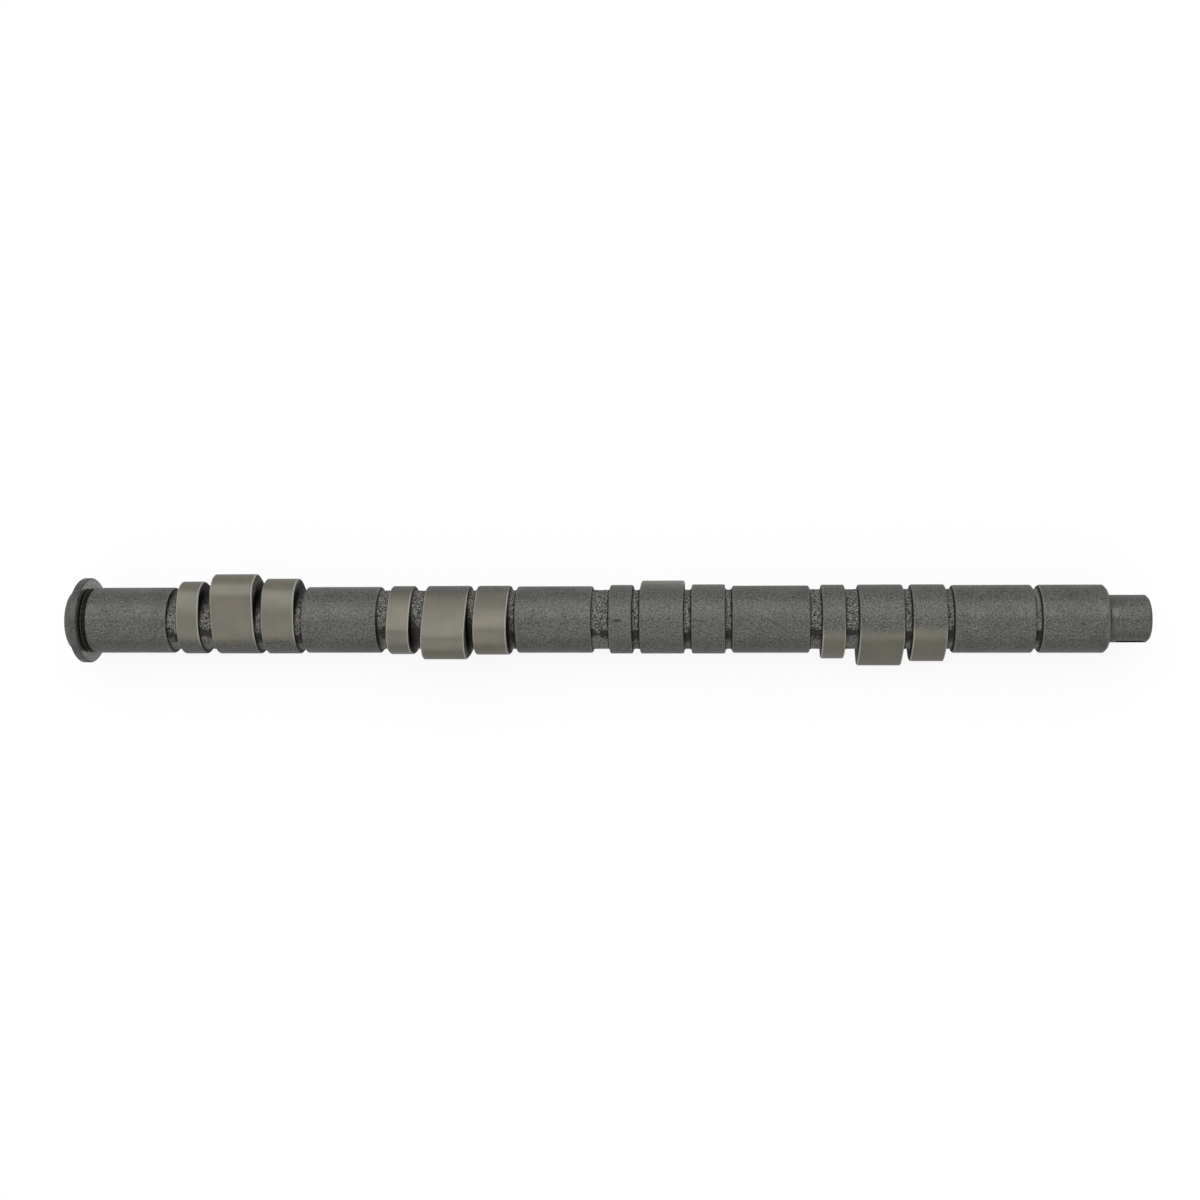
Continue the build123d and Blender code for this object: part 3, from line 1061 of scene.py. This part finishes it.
class CAMSHAFT_OT_snout(bpy.types.Operator):
    """Makes the snout with its half-moon keyway and threaded hole"""

    bl_idname = "camshaft.snout"
    bl_label = "Keyed Snout"

    def execute(self, context):
        settings = context.scene.camshaft
        shoulder = seal_span(settings)[1]
        self.make_seat(settings, shoulder)
        self.make_hole(settings, shoulder + settings.snout.length)
        return {"FINISHED"}

    def make_seat(self, settings, shoulder):
        """Cylinder with the keyway pressed into it.

        Along the keyway the columns near its angle move: the outer two to its upper edges, the next
        two to the foot of its straight walls, and the rest spread over its floor, which lies at the
        cutter's circle: centre height less sqrt(cutter radius^2 - distance along the axis^2).
        """
        sizes, marks = settings.snout, settings.marks
        angles = columns_of(settings)
        end = shoulder + sizes.length
        head = softened(
            [
                (shoulder, sizes.radius + sizes.root),
                (shoulder, sizes.radius),
                (shoulder + 2 * sizes.root, sizes.radius),
            ],
            reach=sizes.root, steps=4,
        )
        tail = softened(
            [
                (end - 1.3 * sizes.chamfer, sizes.radius),
                (end - sizes.chamfer, sizes.radius),
                (end, sizes.radius - sizes.chamfer),
                (end, sizes.mouth_radius),
            ],
            reach=0.12 * MM, steps=3,
        )
        # The keyway's rings stop just short of where its floor runs out, and a plain ring stands
        # just past either end.
        floor_centre = sizes.radius - sizes.key_depth + sizes.key_cutter
        edge_height = math.sqrt(sizes.radius**2 - (sizes.key_width / 2) ** 2)
        reach = math.sqrt(sizes.key_cutter**2 - (floor_centre - edge_height) ** 2)
        keyed = reach * np.sin(np.linspace(-1, 1, KEYWAY_RINGS) * math.pi / 2 * 0.93)
        clear = reach * 1.045
        flat = np.concatenate([[-clear], keyed, [clear]]) + shoulder + sizes.key_place
        along = np.concatenate([head[:, 0], flat, tail[:, 0]])
        radius = np.concatenate([head[:, 1], np.full(len(flat), sizes.radius), tail[:, 1]])
        radius = np.repeat(radius[:, None], len(angles), axis=1)
        turns = np.broadcast_to(angles, radius.shape).copy()

        key_angle = settings.layout.first_nose - sizes.key_lead
        nearest = round(key_angle / (2 * math.pi) * len(angles))
        half_angle = math.asin(sizes.key_width / 2 / sizes.radius)
        half = int(half_angle / (2 * math.pi) * len(angles)) + 1
        offsets = np.arange(-half, half + 1)
        columns = (nearest + offsets) % len(angles)
        across = np.clip(offsets / (half - 1), -1, 1) * sizes.key_width / 2
        rings = np.arange(len(head) + 1, len(head) + 1 + len(keyed))
        floor = floor_centre - np.sqrt(sizes.key_cutter**2 - keyed**2)
        height = np.minimum(floor[:, None], np.sqrt(sizes.radius**2 - across**2))
        height[:, [0, -1]] = edge_height
        radius[np.ix_(rings, columns)] = np.hypot(height, across)
        turns[np.ix_(rings, columns)] = key_angle + np.arctan2(across, height)

        # Painted shade darkens the keyway's floor, more where it lies deeper, and the snout's root at the
        # shoulder.
        oil = np.zeros_like(radius)
        oil[np.ix_(rings, columns)] = smoothstep(0.0, 0.5 * MM, edge_height - floor)[:, None]
        oil[:len(head)] = marks.shoulder_oil
        edge = np.zeros_like(radius)
        beside = (nearest + np.array([-half - 1, -half, half, half + 1])) % len(angles)
        edge[np.ix_(rings, beside)] = marks.rubbed_keyway
        skin(
            STRETCH + "seat", along[:, None], radius, turns, np.zeros(len(along) - 1, int),
            [finish("phosphated_iron", settings)], oil=oil, edge=edge,
        )

    def make_hole(self, settings, end):
        """Countersink and drilling; the thread is a rounded wave that winds along the wall.

        Its wall lies at hole radius + thread height * (1 + cos(2 pi x / pitch - a)) / 2, at x along
        the axis and at the angle a, and the thread runs out over its last eighth.
        """
        sizes = settings.snout
        angles = columns_of(settings)
        sink = (sizes.mouth_radius - sizes.hole_radius) / math.tan(CENTRE_HALF_ANGLE)
        bottom = end - sizes.hole_depth
        point = sizes.hole_radius / math.tan(DRILL_HALF_ANGLE)
        turns = sizes.thread_length / sizes.thread_pitch
        depth = np.linspace(0, 1, int(THREAD_RINGS * turns) + 1)
        wall = end - sink - depth * sizes.thread_length
        wave = wall[:, None] / sizes.thread_pitch - angles / (2 * math.pi)
        cut = 0.5 + 0.5 * np.cos(2 * math.pi * wave)
        fade = smoothstep(1.0, 0.88, depth)[:, None]
        thread = sizes.hole_radius + sizes.thread_height * cut * fade
        sunk = np.maximum(thread, sizes.mouth_radius - (end - wall)[:, None] * math.tan(CENTRE_HALF_ANGLE))
        rows = [np.full_like(angles, sizes.mouth_radius), *sunk]
        rows += [np.full_like(angles, value) for value in (sizes.hole_radius, 0.0)]
        along = np.concatenate([[end], wall, [bottom, bottom - point]])
        skin(
            STRETCH + "hole", along[:, None], np.array(rows), angles, np.zeros(len(along) - 1, int),
            [finish("phosphated_iron", settings)],
        )


class CAMSHAFT_OT_join(bpy.types.Operator):
    """Welds all stretches into one closed skin, which stands for the solid"""

    bl_idname = "camshaft.join"
    bl_label = "Join the Shaft"

    def execute(self, context):
        stretches = [piece for piece in bpy.data.objects if piece.name.startswith(STRETCH)]
        if not stretches:
            raise RuntimeError("make the stretches of the shaft first")
        with context.temp_override(
            active_object=stretches[0], object=stretches[0],
            selected_objects=stretches, selected_editable_objects=stretches,
        ):
            bpy.ops.object.join()
        shaft = stretches[0]
        shaft.name = shaft.data.name = "camshaft_skin"

        work = bmesh.new()
        work.from_mesh(shaft.data)
        bmesh.ops.remove_doubles(work, verts=work.verts, dist=WELD_DISTANCE)
        bmesh.ops.dissolve_degenerate(work, edges=work.edges, dist=WELD_DISTANCE / 2)
        open_edges = [edge for edge in work.edges if not edge.is_manifold]
        if open_edges:
            places = sorted({round(edge.verts[0].co.x / MM, 1) for edge in open_edges})
            raise RuntimeError(f"the skin is open at x = {places[:8]} mm, {len(open_edges)} edges")
        bmesh.ops.recalc_face_normals(work, faces=work.faces)
        work.to_mesh(shaft.data)
        work.free()
        shaft.data.set_sharp_from_angle(angle=SHARP_ANGLE)
        even = shaft.modifiers.new("even_shading", "WEIGHTED_NORMAL")
        even.keep_sharp = True
        even.weight = 80

        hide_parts(NODE)
        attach(shaft, "root")
        return {"FINISHED"}


class CAMSHAFT_OT_stage(bpy.types.Operator):
    """Lays the paper floor, hangs the lamps and sets up the camera"""

    bl_idname = "camshaft.stage"
    bl_label = "Stage"

    def execute(self, context):
        settings = context.scene.camshaft
        sizes = settings.stage
        self.lay_floor(settings)
        for lamp in ("key", "front", "back"):
            self.hang_lamp(sizes, lamp)
        self.light_room(context.scene, sizes.room)

        camera_data = bpy.data.cameras.new("camera")
        camera_data.lens = sizes.lens
        camera_data.shift_y = sizes.rise
        camera_data.clip_start = 10 * MM
        camera = bpy.data.objects.new("camera", camera_data)
        camera.location = sizes.camera_place
        camera.rotation_euler = sizes.camera_turn
        context.scene.collection.objects.link(camera)
        context.scene.camera = camera
        context.scene.view_settings.view_transform = "Standard"
        return {"FINISHED"}

    def lay_floor(self, settings):
        """Square sheet of paper at the height on which the shaft rests."""
        half = settings.stage.paper_half
        height = CAD_BOX[0].z
        mesh = bpy.data.meshes.new("floor")
        mesh.from_pydata(
            [(-half, -half, height), (half, -half, height), (half, half, height), (-half, half, height)],
            [], [(0, 1, 2, 3)],
        )
        floor = bpy.data.objects.new("floor", mesh)
        bpy.context.scene.collection.objects.link(floor)
        mesh.materials.append(finish("white_paper", settings))

    def hang_lamp(self, sizes, name):
        """Soft lamp that covers a span of the directions round the shaft.

        Blender spreads a lamp's power so that its radiance is power / (4 * area).
        """
        low, high = getattr(sizes, name + "_span")
        middle = (low + high) / 2
        across = 2 * sizes.lamp_distance * math.tan((high - low) / 2)
        data = bpy.data.lights.new(name, "AREA")
        data.shape = "RECTANGLE"
        data.size, data.size_y = sizes.lamp_width, across
        data.energy = getattr(sizes, name) * 4 * sizes.lamp_width * across
        lamp = bpy.data.objects.new(name, data)
        lamp.location = (
            sizes.lamp_shift, sizes.lamp_distance * math.cos(middle), sizes.lamp_distance * math.sin(middle),
        )
        lamp.rotation_euler = (middle - math.pi / 2, 0, 0)
        bpy.context.scene.collection.objects.link(lamp)

    def light_room(self, scene, strength):
        """Even light from all round."""
        world = bpy.data.worlds.new("room")
        world.use_nodes = True
        tree = world.node_tree
        tree.nodes.clear()
        room = add_node(tree, "Background", {"Color": (1, 1, 1), "Strength": strength})
        add_node(tree, "OutputWorld", {"Surface": room})
        scene.world = world


STEPS = (
    CAMSHAFT_OT_flange,
    CAMSHAFT_OT_journals,
    CAMSHAFT_OT_lobes,
    CAMSHAFT_OT_necks,
    CAMSHAFT_OT_snout,
    CAMSHAFT_OT_join,
    CAMSHAFT_OT_stage,
)


class CAMSHAFT_PT_panel(bpy.types.Panel):
    """Lists the steps in the order in which they are run, and the settings that they read"""

    bl_idname = "CAMSHAFT_PT_panel"
    bl_label = "Cast Camshaft"
    bl_space_type = "VIEW_3D"
    bl_region_type = "UI"
    bl_category = "Camshaft"

    def draw(self, context):
        for step in STEPS:
            self.layout.operator(step.bl_idname, text=step.bl_label)
        for part in CamshaftSettings.__annotations__:
            group = getattr(context.scene.camshaft, part)
            box = self.layout.box()
            box.label(text=part.capitalize())
            for size in type(group).__annotations__:
                box.prop(group, size)


CLASSES = (
    ShaftLayout,
    JournalSizes,
    LobeEdges,
    MainLobe,
    NarrowLobe,
    SecondaryLobe,
    NeckSizes,
    FlangeSizes,
    SnoutSizes,
    Finishes,
    WearMarks,
    StageSizes,
    CamshaftSettings,
    *STEPS,
    CAMSHAFT_PT_panel,
)


def register():
    """Registers the classes and puts the settings on the scene."""
    for kind in CLASSES:
        bpy.utils.register_class(kind)
    bpy.types.Scene.camshaft = PointerProperty(type=CamshaftSettings)


def unregister():
    """Takes the settings and the classes away again."""
    del bpy.types.Scene.camshaft
    for kind in reversed(CLASSES):
        bpy.utils.unregister_class(kind)


def main():
    """Runs every step in order."""
    register()
    for step in STEPS:
        group, name = step.bl_idname.split(".")
        getattr(getattr(bpy.ops, group), name)()
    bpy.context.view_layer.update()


if __name__ == "__main__":
    main()
